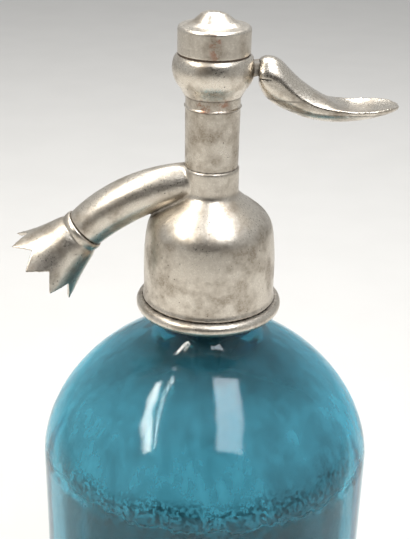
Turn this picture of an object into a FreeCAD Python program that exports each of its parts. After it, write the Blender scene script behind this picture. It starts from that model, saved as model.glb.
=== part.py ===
import FreeCAD, Part
import math
import os

V = FreeCAD.Vector
Y_AXIS = V(0, 1, 0)
Z_AXIS = V(0, 0, 1)

# A soda siphon, in millimetres. Z is up, the foot of the bottle stands on Z 0, the spout points to -X
# and the lever to +X. Radii are measured from the Z axis unless a comment says otherwise.

# Clearances
thread_gap = 0.05
running_gap = 0.05
seal_gap = 0.03
side_gap = 0.2
air_gap = 0.4

# Bottle
bottle_radius = 54.0
glass_wall = 5.0
foot_inner_radius = 38.0
heel_radius = 9.0
punt_rise = 9.0
floor_thickness = 7.0
floor_edge_height = 9.5
inner_heel_radius = 12.5
shoulder_start = 163.5
shoulder_rise = 46.5
shoulder_power = 1.77
shoulder_arcs = 3
inner_shoulder_arcs = 2
shoulder_end_radius = 21.0
inner_shoulder_end_radius = 13.0
neck_radius = 13.0
neck_bore = 9.0
lip_overhang = 2.5
lip_height = 8.0
lip_chamfer = 1.2

# Joint face between the threaded collar and the bell
head_seat = 219.4

# Collar that grips the glass lip
collar_below_lip = 6.6
split_ring_width = 1.1
collar_thread_height = 8.6
collar_wall = 1.55
split_cut = 0.4

# Bell, the cast lower half of the head
bell_wall = 1.85
bead_reach = 0.3
bead_radius = 2.07
bead_cut = 1.9
bell_lip_reach = 0.6
bell_lip_height = 1.5
bell_thread_height = 13.6
bell_straight_height = 11.0
dome_height = 29.0
bell_column_radius = 8.45
bell_height = 43.5

# Points of the dome: share of its reach beyond the column, and share of its height
dome_outline = [
    (0.925, 0.410),
    (0.668, 0.603),
    (0.344, 0.707),
    (0.070, 0.800),
]

# Seals and dip tube under the bell
seal_thickness = 2.0
tube_flange_thickness = 3.0
tube_flange_radius = 11.0
tube_radius = 4.0
tube_bore = 2.6
tube_foot_height = 24.0

# Valve chamber in the bell
passage_radius = 3.0
chamber_radius = 5.0
valve_seat_height = 30.6
seat_ring_height = 3.0
seat_lip_height = 0.8
seat_lip_width = 1.2
valve_disc_radius = 4.0
valve_disc_thickness = 2.0
valve_holder_thickness = 1.2
valve_screw_radius = 2.0
screw_slot_width = 0.6
screw_slot_depth = 0.4
spigot_radius = 6.4
spigot_height = 6.0

# Spout, a bent tapering tube cast with the bell, and its toothed crown
spout_bend_radius = 62.0
spout_bend_x = 4.44
spout_bend_drop = 22.84
spout_start_slope = 9.7
spout_end_slope = 44.0
spout_full_slope = 33.0
spout_radius = 6.9
spout_root_taper = 1.2
spout_tip_taper = 0.35
spout_bore = 3.8
spout_sections = 5
crown_length = 19.9
crown_ring_radius = 7.2
crown_ring_half = 1.2
crown_waist_radius = 6.9
crown_mouth_radius = 13.7
crown_socket_radius = 5.6
crown_socket_depth = 4.4
crown_wall = 1.4
crown_teeth = 8
crown_tooth_length = 5.6
crown_tooth_turn = 21.4
crown_flare_start = 30.0
crown_inner_start = 26.0

# Points of the crown's flare: place along its axis and radius
crown_outline = [
    (5.6, 8.2),
    (10.4, 9.6),
]

# Column between the bell and the lever housing
column_radius = 8.05
column_top_radius = 8.2
column_height = 18.2
guide_height = 3.4
stuffing_radius = 4.4
packing_height = 3.5
gland_height = 7.0
gland_slot = 1.2
column_spigot_radius = 6.4
column_spigot_height = 2.5

# Lever housing, the rounded bulge below the cap
housing_height = 15.6
housing_band_radius = 8.55
housing_band_height = 3.6
housing_bead_height = 0.8
housing_widest = 12.2
housing_top_radius = 10.65
housing_bore = 6.5
housing_spigot_radius = 8.6
housing_spigot_height = 3.8
housing_start_angle = 24.0

# Points of the bulge: share of its reach beyond the band, and share of the housing's height
housing_outline = [
    (0.480, 0.417),
    (0.970, 0.700),
    (0.860, 0.923),
]

# Window in the housing that the lever's core passes through, measured from the housing's foot
window_low = 5.9
window_high = 14.8
window_reach = 20.0

# Cap
cap_gasket_thickness = 0.5
cap_height = 7.8
cap_edge = 0.6
cap_roof = 1.7
nub_radius = 5.5
nub_height = 4.0
nub_fillet = 0.8

# Shoulder of the nub: share of its radius and share of its height
nub_shoulder = (0.58, 0.78)

# Piston, its yoke and return spring
rod_radius = 2.5
yoke_height = 13.0
yoke_stub_radius = 1.8
yoke_stub_height = 4.0
spring_pocket_radius = 5.0
spring_pocket_depth = 3.0
spring_radius = 3.9
spring_wire_radius = 0.45
spring_turns = 4

# Lever: how far it swings and how far that lifts the valve
lever_swing = 18.0
valve_lift = 2.8
pin_x = 9.2
pin_above_housing_foot = 10.9
pin_radius = 1.1
lever_boss_radius = 2.4
lever_core_half_width = 2.5
nose_radius = 2.0
arm_half_height = 1.3
core_end_x = 24.0
handle_start_x = 13.1
groove_height = 0.4
groove_end_x = 16.6
groove_drop = 0.8

# Outline of the core's tang behind the pin: place along X and height over the pin
tang_outline = [
    (pin_x, -1.8),
    (handle_start_x, -groove_drop),
    (groove_end_x, -groove_drop),
    (core_end_x, -5.6),
    (core_end_x, -3.6),
    (18.6, 1.8),
    (handle_start_x, 2.9),
    (pin_x, lever_boss_radius),
]

# Lever handle, as sections across X: place along X, middle height under the pin, half width,
# half height of the side, and height of the middle of the top and of the underside
handle_sections = [
    (13.1, 0.1, 4.6, 0.9, 3.4, -3.4),
    (14.2, 0.9, 5.6, 1.1, 5.1, -5.0),
    (15.8, 1.7, 6.0, 1.3, 6.2, -6.2),
    (19.1, 3.35, 6.1, 1.4, 6.8, -6.8),
    (22.4, 5.6, 6.2, 1.4, 6.0, -6.0),
    (26.0, 7.9, 6.4, 1.3, 5.1, -5.1),
    (30.5, 9.4, 6.75, 1.0, 3.6, -4.6),
    (35.4, 9.9, 7.2, 0.8, 1.3, -4.5),
    (41.0, 10.0, 7.5, 0.6, -0.8, -4.0),
    (46.4, 9.7, 7.4, 0.5, -0.8, -3.3),
    (51.0, 9.3, 5.6, 0.5, -0.3, -2.4),
    (53.4, 9.3, 3.3, 0.4, 0.1, -1.5),
    (54.4, 9.4, 1.5, 0.3, 0.4, -0.7),
]

# Heights of the stack, worked out from the dimensions above
lip_radius = neck_radius + lip_overhang
lip_bottom = head_seat + collar_below_lip
lip_top = lip_bottom + lip_height
tube_flange_bottom = lip_top + seal_thickness
tube_flange_top = tube_flange_bottom + tube_flange_thickness
bell_ceiling = tube_flange_top + seal_thickness
seat_z = head_seat + valve_seat_height
bell_top = head_seat + bell_height
column_top = bell_top + column_height
housing_top = column_top + housing_height
cap_bottom = housing_top + cap_gasket_thickness
cap_top = cap_bottom + cap_height
cap_ceiling = cap_top - cap_roof
packing_bottom = bell_top + spigot_height + air_gap + guide_height
gland_bottom = packing_bottom + packing_height
yoke_bottom = column_top + column_spigot_height + air_gap
yoke_top = yoke_bottom + yoke_height
spring_floor = yoke_top - spring_pocket_depth
pin_z = column_top + pin_above_housing_foot

# Radii of the collar, worked outwards from the glass lip
split_ring_inner = neck_radius + thread_gap
ledge_bore = lip_radius + air_gap
split_ring_outer = ledge_bore + split_ring_width
collar_bore = split_ring_outer + thread_gap
collar_thread = collar_bore + collar_wall
bell_thread = collar_thread + thread_gap
skirt_radius = bell_thread + bell_wall

# The nose moves as far under level as over it, so it lifts almost straight
half_swing = math.radians(lever_swing / 2)
nose_arm = valve_lift / (2 * math.sin(half_swing))
nose_x = pin_x - nose_arm * math.cos(half_swing)
nose_z = pin_z - nose_arm * math.sin(half_swing)


def line(a, b):
    return Part.makeLine(V(a[0], 0, a[1]), V(b[0], 0, b[1]))


def lines(points):
    return [line(a, b) for a, b in zip(points, points[1:])]


def arc(a, middle, b):
    ends = [V(p[0], 0, p[1]) for p in (a, middle, b)]
    return Part.Arc(*ends).toShape()


def corner(centre, radius, start, end):
    """Arc of a circle between two angles in degrees, counted from +r towards +z."""
    points = []
    for angle in (start, (start + end) / 2, end):
        turn = math.radians(angle)
        points.append((centre[0] + radius * math.cos(turn), centre[1] + radius * math.sin(turn)))
    return arc(*points)


def arcs(points, heading):
    """Arcs through points, each tangent to the last. Headings are degrees from +r towards +z.

    Returns the edges and the heading at the last point.
    """
    edges = []
    for a, b in zip(points, points[1:]):
        across, up = b[0] - a[0], b[1] - a[1]
        turn = math.degrees(math.atan2(up, across)) - heading
        turn = (turn + 180) % 360 - 180
        bulge = math.tan(math.radians(turn) / 2) / 2
        middle = ((a[0] + b[0]) / 2 + bulge * up, (a[1] + b[1]) / 2 - bulge * across)
        edges.append(arc(a, middle, b))
        heading += 2 * turn
    return edges, heading


def upright(point, heading, radius):
    """Arc from point that ends straight up at radius. Returns the edge and its end."""
    lean = math.radians(heading - 90)
    bend = (point[0] - radius) / (1 - math.cos(lean))
    centre = (radius + bend, point[1] + bend * math.sin(lean))
    return corner(centre, bend, 90 + heading, 180), (radius, centre[1])


def turned(edges):
    """Solid of revolution about Z from a closed outline in the XZ plane."""
    wire = Part.Wire(Part.__sortEdges__(edges))
    return Part.Face(wire).revolve(V(0, 0, 0), Z_AXIS, 360)


def cylinder(radius, low, high):
    return Part.makeCylinder(radius, high - low, V(0, 0, low))


def ring(outer, inner, low, high):
    return cylinder(outer, low, high).cut(cylinder(inner, low - 1, high + 1))


def block(low, high):
    size = [b - a for a, b in zip(low, high)]
    return Part.makeBox(size[0], size[1], size[2], V(*low))


def shoulder_point(radius, rise, share):
    """Point of the glass shoulder at a share of a quarter turn, from the wall towards the axis."""
    angle = share * math.pi / 2
    power = 2 / shoulder_power
    return (radius * math.cos(angle) ** power, shoulder_start + rise * math.sin(angle) ** power)


def shoulder_edges(radius, rise, end_radius, throat_radius, throat_top, count):
    """Shoulder, then a hollow fillet up into the neck."""
    end_share = math.acos((end_radius / radius) ** (shoulder_power / 2)) / (math.pi / 2)
    points = []
    for i in range(count + 1):
        points.append(shoulder_point(radius, rise, end_share * i / count))
    edges, heading = arcs(points, 90)
    fillet, fillet_end = upright(points[-1], heading, throat_radius)
    return edges + [fillet, line(fillet_end, (throat_radius, throat_top))]


def dome_arc(edge_radius, edge_z, centre_z):
    """Arc from the axis at centre_z down to edge_radius at edge_z."""
    rise = centre_z - edge_z
    sphere = (edge_radius ** 2 + rise ** 2) / (2 * rise)
    half = edge_radius / 2
    middle_z = centre_z - sphere + math.sqrt(sphere ** 2 - half ** 2)
    return arc((0, centre_z), (half, middle_z), (edge_radius, edge_z))


def make_bottle():
    inner_radius = bottle_radius - glass_wall
    foot_outer_radius = bottle_radius - heel_radius
    floor_edge_radius = inner_radius - inner_heel_radius
    inner_wall_start = floor_edge_height + inner_heel_radius
    edges = [
        dome_arc(foot_inner_radius, 0, punt_rise),
        line((foot_inner_radius, 0), (foot_outer_radius, 0)),
        corner((foot_outer_radius, heel_radius), heel_radius, -90, 0),
        line((bottle_radius, heel_radius), (bottle_radius, shoulder_start)),
    ]
    edges += shoulder_edges(
        bottle_radius, shoulder_rise, shoulder_end_radius, neck_radius, lip_bottom, shoulder_arcs)
    edges += lines([
        (neck_radius, lip_bottom),
        (lip_radius - lip_chamfer, lip_bottom),
        (lip_radius, lip_bottom + lip_chamfer),
        (lip_radius, lip_top - lip_chamfer),
        (lip_radius - lip_chamfer, lip_top),
        (neck_bore, lip_top),
    ])
    inner_rise = shoulder_rise - glass_wall
    edges += shoulder_edges(
        inner_radius, inner_rise, inner_shoulder_end_radius, neck_bore, lip_top, inner_shoulder_arcs)
    edges += [
        line((inner_radius, shoulder_start), (inner_radius, inner_wall_start)),
        corner((floor_edge_radius, inner_wall_start), inner_heel_radius, 0, -90),
        dome_arc(floor_edge_radius, floor_edge_height, punt_rise + floor_thickness),
        line((0, punt_rise), (0, punt_rise + floor_thickness)),
    ]
    return turned(edges)


def make_collar():
    """Ring with the round bead that shows under the bell, and a plain band for its thread."""
    bead_centre = (skirt_radius + bead_reach, head_seat - bead_cut)
    bottom = bead_centre[1] - bead_radius
    ledge_top = head_seat - air_gap
    bead_end = math.degrees(math.asin(bead_cut / bead_radius))
    bead_top_radius = bead_centre[0] + bead_radius * math.cos(math.radians(bead_end))
    thread_top = head_seat + collar_thread_height
    edges = [
        line((ledge_bore, bottom), (bead_centre[0], bottom)),
        corner(bead_centre, bead_radius, -90, bead_end),
    ]
    edges += lines([
        (bead_top_radius, head_seat),
        (collar_thread, head_seat),
        (collar_thread, thread_top),
        (collar_bore, thread_top),
        (collar_bore, ledge_top),
        (ledge_bore, ledge_top),
        (ledge_bore, bottom),
    ])
    return turned(edges)


def make_split_ring(side):
    """Half of the ring under the glass lip; side is -1 for the front half and 1 for the back."""
    whole = ring(split_ring_outer, split_ring_inner, head_seat - air_gap, lip_bottom)
    reach = split_ring_outer + 1
    near = split_cut / 2
    low_y = near if side > 0 else -reach
    high_y = reach if side > 0 else -near
    return whole.common(block((-reach, low_y, head_seat - 1), (reach, high_y, lip_bottom + 1)))


def make_dip_tube():
    tube = ring(tube_radius, tube_bore, tube_foot_height, tube_flange_top)
    flange = ring(tube_flange_radius, tube_bore, tube_flange_bottom, tube_flange_top)
    return tube.fuse(flange).removeSplitter()


def make_tube_gasket():
    return ring(lip_radius - lip_chamfer, tube_radius + thread_gap, lip_top, tube_flange_bottom)


def make_head_gasket():
    return ring(lip_radius, tube_radius, tube_flange_top, bell_ceiling)


def bell_outline():
    """Outer outline of the bell from its foot to the seam under the column."""
    lip_top_radius = skirt_radius + bell_lip_reach
    straight_top = head_seat + bell_straight_height
    span = skirt_radius - bell_column_radius
    points = [(skirt_radius, straight_top)]
    for reach, rise in dome_outline:
        points.append((bell_column_radius + reach * span, straight_top + rise * dome_height))
    dome, heading = arcs(points, 90)
    root, root_end = upright(points[-1], heading, bell_column_radius)
    half = bell_lip_height / 2
    edges = [
        root,
        line(root_end, (bell_column_radius, bell_top)),
    ]
    edges += lines([
        (bell_thread, head_seat),
        (lip_top_radius - half, head_seat),
        (lip_top_radius, head_seat + half),
        (skirt_radius, head_seat + bell_lip_height),
        (skirt_radius, straight_top),
    ])
    return edges + dome


def spout_place(slope):
    """Centre of the spout and its direction, where it slopes down by slope degrees."""
    turn = math.radians(slope)
    bend_z = head_seat - spout_bend_drop
    x = spout_bend_x - spout_bend_radius * math.sin(turn)
    z = bend_z + spout_bend_radius * math.cos(turn)
    return V(x, 0, z), V(-math.cos(turn), 0, -math.sin(turn))


def spout_section_radius(slope):
    if slope < spout_full_slope:
        share = (spout_full_slope - slope) / (spout_full_slope - spout_start_slope)
        return spout_radius - spout_root_taper * share ** 2
    share = (slope - spout_full_slope) / (spout_end_slope - spout_full_slope)
    return spout_radius - spout_tip_taper * share ** 2


def make_spout_blank():
    wires = []
    for i in range(spout_sections):
        slope = spout_start_slope + (spout_end_slope - spout_start_slope) * i / (spout_sections - 1)
        place, direction = spout_place(slope)
        wires.append(Part.Wire(Part.makeCircle(spout_section_radius(slope), place, direction)))
    body = Part.makeLoft(wires, True, False)
    reach = 2 * spout_bend_radius
    return body.common(block((-reach, -reach, 0), (0, reach, bell_top)))


def make_spout_bore():
    start, direction = spout_place(spout_start_slope / 2)
    face = Part.Face(Part.Wire(Part.makeCircle(spout_bore, start, direction)))
    centre = V(spout_bend_x, 0, head_seat - spout_bend_drop)
    return face.revolve(centre, -Y_AXIS, spout_end_slope - spout_start_slope / 2)


def make_bell():
    edges = bell_outline()
    pocket_radius = lip_radius + air_gap
    thread_top = head_seat + bell_thread_height
    spigot_top = bell_top + spigot_height
    edges += lines([
        (bell_column_radius, bell_top),
        (spigot_radius, bell_top),
        (spigot_radius, spigot_top),
        (chamber_radius, spigot_top),
        (chamber_radius, seat_z - seat_ring_height),
        (passage_radius, seat_z - seat_ring_height),
        (passage_radius, bell_ceiling),
        (pocket_radius, bell_ceiling),
        (pocket_radius, thread_top),
        (bell_thread, thread_top),
        (bell_thread, head_seat),
    ])
    body = turned(edges)
    core = cylinder(bell_column_radius - 1, seat_z - seat_ring_height, bell_top + 1)
    spout = make_spout_blank().cut(core)
    end, direction = spout_place(spout_end_slope)
    nose = Part.makeCylinder(crown_socket_radius, crown_socket_depth + 1, end - direction, direction)
    bore = Part.makeCylinder(spout_bore, crown_socket_depth + 1, end, direction)
    casting = body.fuse([spout, nose])
    return casting.cut([make_spout_bore(), bore]).removeSplitter()


def make_crown():
    """Toothed flare at the end of the spout, turned along Z and then tipped onto the spout."""
    points = [(crown_waist_radius, 2 * crown_ring_half)]
    points += [(radius, place) for place, radius in crown_outline]
    points.append((crown_mouth_radius, crown_length))
    inner = [(radius - crown_wall, place) for radius, place in points[2:]]
    inner.insert(0, (crown_socket_radius, crown_socket_depth))
    edges = arcs(points, 90 - crown_flare_start)[0] + arcs(inner, 90 - crown_inner_start)[0]
    foot = (crown_waist_radius, 0)
    edges += [
        arc(foot, (crown_ring_radius, crown_ring_half), points[0]),
        line(points[-1], inner[-1]),
    ]
    edges += lines([inner[0], (crown_socket_radius, 0), foot])
    flare = turned(edges)
    notches = []
    pitch = 360 / crown_teeth
    half = crown_mouth_radius * math.tan(math.radians(pitch / 2))
    root = crown_length - crown_tooth_length
    over = 1.0
    wide = half * (crown_tooth_length + over) / crown_tooth_length
    for i in range(crown_teeth):
        corners = [V(0, -wide, crown_length + over), V(0, wide, crown_length + over), V(0, 0, root)]
        face = Part.Face(Part.makePolygon(corners + corners[:1]))
        notch = face.extrude(V(crown_mouth_radius * 2, 0, 0))
        notch.rotate(V(0, 0, 0), Z_AXIS, crown_tooth_turn + pitch * (i + 0.5))
        notches.append(notch)
    flare = flare.cut(notches)
    end, direction = spout_place(spout_end_slope)
    flare.rotate(V(0, 0, 0), Y_AXIS, -90 - spout_end_slope)
    flare.translate(end)
    return flare


def make_seat_ring():
    """Ring pressed into the chamber floor, with the narrow lip that the valve closes on."""
    bottom = seat_z - seat_ring_height
    flat = seat_z - seat_lip_height
    bore = valve_screw_radius + air_gap
    return turned(lines([
        (bore, bottom),
        (chamber_radius, bottom),
        (chamber_radius, flat),
        (bore + seat_lip_width, flat),
        (bore + seat_lip_width, seat_z),
        (bore, seat_z),
        (bore, bottom),
    ]))


def make_column():
    spigot_top = column_top + column_spigot_height
    socket_top = bell_top + spigot_height + air_gap
    guide = rod_radius + running_gap
    socket = spigot_radius + thread_gap
    return turned(lines([
        (column_radius, bell_top),
        (column_top_radius, column_top),
        (column_spigot_radius, column_top),
        (column_spigot_radius, spigot_top),
        (stuffing_radius, spigot_top),
        (stuffing_radius, packing_bottom),
        (guide, packing_bottom),
        (guide, socket_top),
        (socket, socket_top),
        (socket, bell_top),
        (column_radius, bell_top),
    ]))


def make_packing():
    return ring(stuffing_radius, rod_radius + seal_gap, packing_bottom, gland_bottom)


def make_gland_nut():
    top = gland_bottom + gland_height
    nut = ring(stuffing_radius, rod_radius + running_gap, gland_bottom, top)
    reach = stuffing_radius + 1
    half = gland_slot / 2
    slot = block((-reach, -half, top - gland_slot), (reach, half, top + 1))
    return nut.cut(slot)


def housing_edges():
    """Outer outline of the lever housing: a band, the bulge and the step under the cap."""
    span = housing_widest - housing_band_radius
    band_top = column_top + housing_band_height
    bead = housing_bead_height / 2
    foot = housing_band_radius
    points = [(foot, band_top)]
    for reach, rise in housing_outline:
        points.append((foot + reach * span, column_top + rise * housing_height))
    points.append((housing_top_radius, housing_top))
    return arcs(points, 90 - housing_start_angle)[0] + lines([
        (foot - bead / 2, column_top),
        (foot, column_top + bead),
        (foot - bead, column_top + 2 * bead),
        (foot - bead, band_top),
        (foot, band_top),
    ])


def make_housing_blank():
    spigot_top = housing_top + housing_spigot_height
    foot = (housing_band_radius - housing_bead_height / 4, column_top)
    edges = housing_edges()
    edges += lines([
        (housing_top_radius, housing_top),
        (housing_spigot_radius, housing_top),
        (housing_spigot_radius, spigot_top),
        (0, spigot_top),
        (0, column_top),
        foot,
    ])
    return turned(edges)


def pin_cylinder(radius, reach):
    return Part.makeCylinder(radius, 2 * reach, V(pin_x, -reach, pin_z), Y_AXIS)


def make_housing():
    body = make_housing_blank()
    bore = cylinder(housing_bore, column_top - 1, housing_top + housing_spigot_height + 1)
    half = lever_core_half_width + side_gap
    low = column_top + window_low
    high = column_top + window_high
    window = block((housing_bore / 2, -half, low), (window_reach, half, high))
    return body.cut([bore, window, pin_cylinder(pin_radius, window_reach)])


def make_lever_pin():
    """Pin through the housing, its ends dressed flush with the bulge."""
    return pin_cylinder(pin_radius, window_reach).common(make_housing_blank())


def make_cap_gasket():
    return ring(housing_top_radius - air_gap, housing_spigot_radius, housing_top, cap_bottom)


def make_cap():
    thread = housing_spigot_radius + thread_gap
    thread_top = housing_top + housing_spigot_height + air_gap
    nub = [
        (nub_radius, cap_top),
        (nub_radius - nub_fillet, cap_top + nub_fillet),
        (nub_radius * nub_shoulder[0], cap_top + nub_height * nub_shoulder[1]),
    ]
    edges = arcs(nub, 180)[0]
    edges.append(dome_arc(nub[-1][0], nub[-1][1], cap_top + nub_height))
    edges += lines([
        (nub_radius, cap_top),
        (housing_top_radius - cap_edge, cap_top),
        (housing_top_radius, cap_top - cap_edge),
        (housing_top_radius, cap_bottom),
        (thread, cap_bottom),
        (thread, thread_top),
        (housing_bore, thread_top),
        (housing_bore, cap_ceiling),
        (0, cap_ceiling),
        (0, cap_top + nub_height),
    ])
    return turned(edges)


def make_piston_rod():
    """Rod with the flange that carries the rubber disc, and a stub for the yoke."""
    disc_top = seat_z + seal_gap + valve_disc_thickness
    holder_top = disc_top + valve_holder_thickness
    stub_top = yoke_bottom + yoke_stub_height
    return turned(lines([
        (0, disc_top),
        (valve_disc_radius, disc_top),
        (valve_disc_radius, holder_top),
        (rod_radius, holder_top),
        (rod_radius, yoke_bottom),
        (yoke_stub_radius, yoke_bottom),
        (yoke_stub_radius, stub_top),
        (0, stub_top),
        (0, disc_top),
    ]))


def make_valve_disc():
    return cylinder(valve_disc_radius, seat_z + seal_gap, seat_z + seal_gap + valve_disc_thickness)


def make_valve_screw():
    high = seat_z + seal_gap
    low = high - valve_holder_thickness
    half = screw_slot_width / 2
    slot_low = (-valve_screw_radius, -half, low - 1)
    slot_high = (valve_screw_radius, half, low + screw_slot_depth)
    return cylinder(valve_screw_radius, low, high).cut(block(slot_low, slot_high))


def make_yoke():
    """Brass head of the piston, with the slot that the lever's nose lifts and the spring's pocket."""
    radius = housing_bore - running_gap
    body = cylinder(radius, yoke_bottom, yoke_top)
    pocket = cylinder(spring_pocket_radius, spring_floor, yoke_top + 1)
    stub = cylinder(yoke_stub_radius, yoke_bottom - 1, yoke_bottom + yoke_stub_height)
    near = nose_radius + running_gap
    reach = radius + 1 - nose_x
    far = arm_half_height + reach * math.sin(half_swing) + side_gap
    left = nose_x - near - side_gap
    corners = [
        (left, nose_z - near),
        (nose_x + nose_radius / 2, nose_z - near),
        (radius + 1, nose_z - far),
        (radius + 1, nose_z + far),
        (nose_x + nose_radius / 2, nose_z + near),
        (left, nose_z + near),
    ]
    half = lever_core_half_width + side_gap
    outline = Part.makePolygon([V(x, -half, z) for x, z in corners + corners[:1]])
    slot = Part.Face(outline).extrude(V(0, 2 * half, 0))
    return body.cut([pocket, stub, slot])


def coil_point(turns, low, pitch):
    """Point of the spring's centre line and its direction, after a number of turns."""
    angle = 2 * math.pi * turns
    place = V(spring_radius * math.cos(angle), spring_radius * math.sin(angle), low + pitch * turns)
    climb = V(-math.sin(angle), math.cos(angle), pitch / (2 * math.pi * spring_radius))
    return place, climb.normalize()


def biarc(start, start_way, end, end_way):
    """Two arcs that join smoothly and leave and arrive along the two directions."""
    chord = end - start
    along = chord * (start_way + end_way)
    open_share = 1 - start_way * end_way
    reach = (math.sqrt(along ** 2 + 2 * open_share * (chord * chord)) - along) / (2 * open_share)
    first = start + start_way * reach
    second = end - end_way * reach
    joint = (first + second) * 0.5
    edges = []
    for a, apex, b in ((start, first, joint), (joint, second, end)):
        weight = (b - a).Length / (2 * reach)
        middle = (a + b + apex * (2 * weight)) * (0.5 / (1 + weight))
        edges.append(Part.Arc(a, middle, b).toShape())
    return edges


def least_gap(points, apart, thickness):
    """Least gap between stretches of a tube whose points are at least apart steps from each other."""
    nearest = min(
        (points[i] - points[j]).Length
        for i in range(len(points)) for j in range(i + apart, len(points)))
    return nearest - thickness


def make_spring():
    """Return spring between the yoke and the cap, one tube on quarter turns."""
    low = spring_floor + spring_wire_radius + running_gap
    high = cap_ceiling - spring_wire_radius - running_gap
    pitch = (high - low) / spring_turns
    steps = 4 * spring_turns
    places = [coil_point(i / 4, low, pitch) for i in range(steps + 1)]
    edges = []
    for (a, a_way), (b, b_way) in zip(places, places[1:]):
        edges += biarc(a, a_way, b, b_way)
    start, climb = places[0]
    section = Part.Wire(Part.makeCircle(spring_wire_radius, start, climb))
    coil = Part.Wire(edges).makePipeShell([section], True, False)
    fine = 24
    points = [coil_point(i / fine, low, pitch)[0] for i in range(spring_turns * fine + 1)]
    gap = least_gap(points, fine // 2, 2 * spring_wire_radius)
    print("least gap of the spring to itself: %.2f mm" % gap)
    return coil


def make_lever_core():
    """Steel core: rounded nose in the yoke, boss on the pin and a tang cast into the handle."""
    side_y = -lever_core_half_width
    width = 2 * lever_core_half_width

    def disc(radius, x, z):
        return Part.makeCylinder(radius, width, V(x, side_y, z), Y_AXIS)

    def plate(corners):
        face = Part.Face(Part.makePolygon([V(x, side_y, z) for x, z in corners + corners[:1]]))
        return face.extrude(V(0, width, 0))

    lean = V(math.sin(half_swing), 0, -math.cos(half_swing))
    low = (lean.x * arm_half_height, lean.z * arm_half_height)
    arm = plate([
        (nose_x + low[0], nose_z + low[1]),
        (pin_x + low[0], pin_z + low[1]),
        (pin_x - low[0], pin_z - low[1]),
        (nose_x - low[0], nose_z - low[1]),
    ])
    tang = plate([(x, pin_z + height) for x, height in tang_outline])
    body = disc(nose_radius, nose_x, nose_z).fuse([arm, tang, disc(lever_boss_radius, pin_x, pin_z)])
    return body.cut(pin_cylinder(pin_radius + running_gap, window_reach)).removeSplitter()


def handle_wire(section):
    """Outline across the handle: an arched or hollow top, short sides and a rounded underside."""
    x, drop, half_width, side, top, under = section
    middle = pin_z - drop
    left_high = V(x, -half_width, middle + side)
    right_high = V(x, half_width, middle + side)
    left_low = V(x, -half_width, middle - side)
    right_low = V(x, half_width, middle - side)
    return Part.Wire([
        Part.Arc(left_high, V(x, 0, middle + top), right_high).toShape(),
        Part.makeLine(right_high, right_low),
        Part.Arc(right_low, V(x, 0, middle + under), left_low).toShape(),
        Part.makeLine(left_low, left_high),
    ])


def make_lever_handle():
    body = Part.makeLoft([handle_wire(section) for section in handle_sections], True, False)
    groove_top = pin_z - groove_drop
    low = (handle_start_x - 1, -window_reach, groove_top - groove_height)
    groove = block(low, (groove_end_x, window_reach, groove_top))
    return body.cut([make_lever_core(), groove])


nodes = {
    "bottle": make_bottle(),
    "neck_collar": make_collar(),
    "split_ring_front": make_split_ring(-1),
    "split_ring_back": make_split_ring(1),
    "tube_gasket": make_tube_gasket(),
    "dip_tube": make_dip_tube(),
    "head_gasket": make_head_gasket(),
    "bell": make_bell(),
    "valve_seat_ring": make_seat_ring(),
    "spout_crown": make_crown(),
    "column": make_column(),
    "packing_ring": make_packing(),
    "gland_nut": make_gland_nut(),
    "lever_housing": make_housing(),
    "lever_pin": make_lever_pin(),
    "cap_gasket": make_cap_gasket(),
    "cap": make_cap(),
    "piston_rod": make_piston_rod(),
    "valve_disc": make_valve_disc(),
    "valve_screw": make_valve_screw(),
    "piston_yoke": make_yoke(),
    "return_spring": make_spring(),
    "lever_core": make_lever_core(),
    "lever_handle": make_lever_handle(),
}

os.makedirs("parts", exist_ok=True)
for name, shape in nodes.items():
    solids = shape.Solids
    if len(solids) == 1:
        shape = solids[0]
    shape.exportStep("parts/" + name + ".step")
    box = shape.BoundBox
    print("%-18s solids %d valid %s volume %.1f mm3, z %.2f to %.2f, x %.2f to %.2f" % (
        name, len(solids), shape.isValid(), shape.Volume, box.ZMin, box.ZMax, box.XMin, box.XMax))
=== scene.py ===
import bpy
import bmesh
import math
from mathutils import Matrix, Vector


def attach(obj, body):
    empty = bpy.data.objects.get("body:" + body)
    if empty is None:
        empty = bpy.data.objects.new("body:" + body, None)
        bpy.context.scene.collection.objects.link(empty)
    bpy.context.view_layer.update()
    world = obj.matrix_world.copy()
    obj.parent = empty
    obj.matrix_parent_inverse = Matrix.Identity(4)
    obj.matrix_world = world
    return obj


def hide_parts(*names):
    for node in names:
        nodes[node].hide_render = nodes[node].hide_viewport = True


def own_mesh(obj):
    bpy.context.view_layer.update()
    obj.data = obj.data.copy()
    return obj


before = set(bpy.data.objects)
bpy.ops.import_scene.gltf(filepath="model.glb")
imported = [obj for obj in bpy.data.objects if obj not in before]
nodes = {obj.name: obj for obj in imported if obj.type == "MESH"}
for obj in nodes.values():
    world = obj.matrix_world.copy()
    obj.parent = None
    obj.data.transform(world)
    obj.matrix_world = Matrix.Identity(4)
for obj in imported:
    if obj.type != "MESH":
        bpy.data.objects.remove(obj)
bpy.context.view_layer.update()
mm = 0.001
print("frame loaded:", len(nodes), "nodes")


# small helpers

def linear(hexColour):  # sRGB hex to the linear values that a shader takes
    values = []
    for start in (1, 3, 5):
        c = int(hexColour[start:start + 2], 16) / 255
        values.append(c / 12.92 if c <= 0.04045 else ((c + 0.055) / 1.055) ** 2.4)
    return values + [1.0]


def addNode(tree, kind, values=None):  # a socket is linked, anything else sets the node or its input
    node = tree.nodes.new(kind)
    for key, value in (values or {}).items():
        if isinstance(value, bpy.types.NodeSocket):
            tree.links.new(value, node.inputs[key])
        elif isinstance(key, str) and hasattr(node, key):
            setattr(node, key, value)
        else:
            node.inputs[key].default_value = value
    return node


def newMaterial(name):
    material = bpy.data.materials.new(name)
    material.use_nodes = True
    material.node_tree.nodes.clear()
    return material, material.node_tree


def linkedObject(name, mesh):
    made = bpy.data.objects.new(name, mesh)
    bpy.context.scene.collection.objects.link(made)
    return made


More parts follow.
